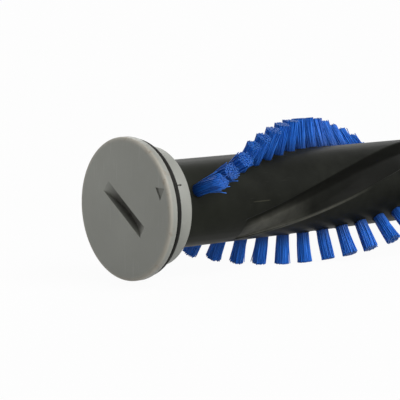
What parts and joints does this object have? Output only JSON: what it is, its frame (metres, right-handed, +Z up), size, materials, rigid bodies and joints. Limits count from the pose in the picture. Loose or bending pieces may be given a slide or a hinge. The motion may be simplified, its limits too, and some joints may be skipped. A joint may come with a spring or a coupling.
{
  "type": "vacuum roller brush",
  "caption": "Roller brush for a vacuum cleaner head: black roller with helical rows of blue bristle tufts, turning on a bearing in a round grey end cap with a coin slot.",
  "frame": {"origin": "on the roller's axis, in the plane of the cap disc's rear face, which seats on the cleaner head", "axes": "+X along the roller from the end cap to the drive end, +Z up, lying as in the head"},
  "size_m": [0.211, 0.0496, 0.0496],
  "materials": {
    "cap_plastic": "fine moulded satin",
    "seal_rubber": "matt",
    "felt": "pressed wool felt",
    "bearing_steel": "ground",
    "pressed_steel": "pressed",
    "axle_steel": "turned",
    "spring_steel": "blackened",
    "roller_plastic": "semi-gloss",
    "plug_plastic": "moulded",
    "bristle_nylon": "drawn filament",
    "anchor_wire": "flattened wire"
  },
  "bodies": {
    "cap": {"end_cap": "cap_plastic", "cap_seal": "seal_rubber", "felt_ring": "felt", "bearing_outer_race": "bearing_steel", "bearing_shield_front": "pressed_steel", "bearing_shield_rear": "pressed_steel"},
    "roller": {"roller_body": "roller_plastic", "bristle_row_1": "bristle_nylon", "bristle_row_2": "bristle_nylon", "tuft_anchors_1": "anchor_wire", "tuft_anchors_2": "anchor_wire", "end_plug": "plug_plastic", "thread_guard": "roller_plastic", "drive_plug": "plug_plastic", "stub_axle": "axle_steel", "axle_clip": "spring_steel", "thrust_washer": "pressed_steel", "bearing_inner_race": "bearing_steel"},
    "ball_set": {"bearing_balls": "bearing_steel", "bearing_cage": "pressed_steel"}
  },
  "joints": [
    {"name": "roller_spin", "type": "hinge", "parent": "cap", "child": "roller", "pos_m": [0, 0, 0], "axis": [1, 0, 0], "continuous": true},
    {"name": "ball_set_spin", "type": "hinge", "parent": "cap", "child": "ball_set", "pos_m": [0, 0, 0], "axis": [1, 0, 0], "continuous": true}
  ],
  "couplings": [
    {"joint": "ball_set_spin", "follows": "roller_spin", "ratio": 0.38095}
  ]
}
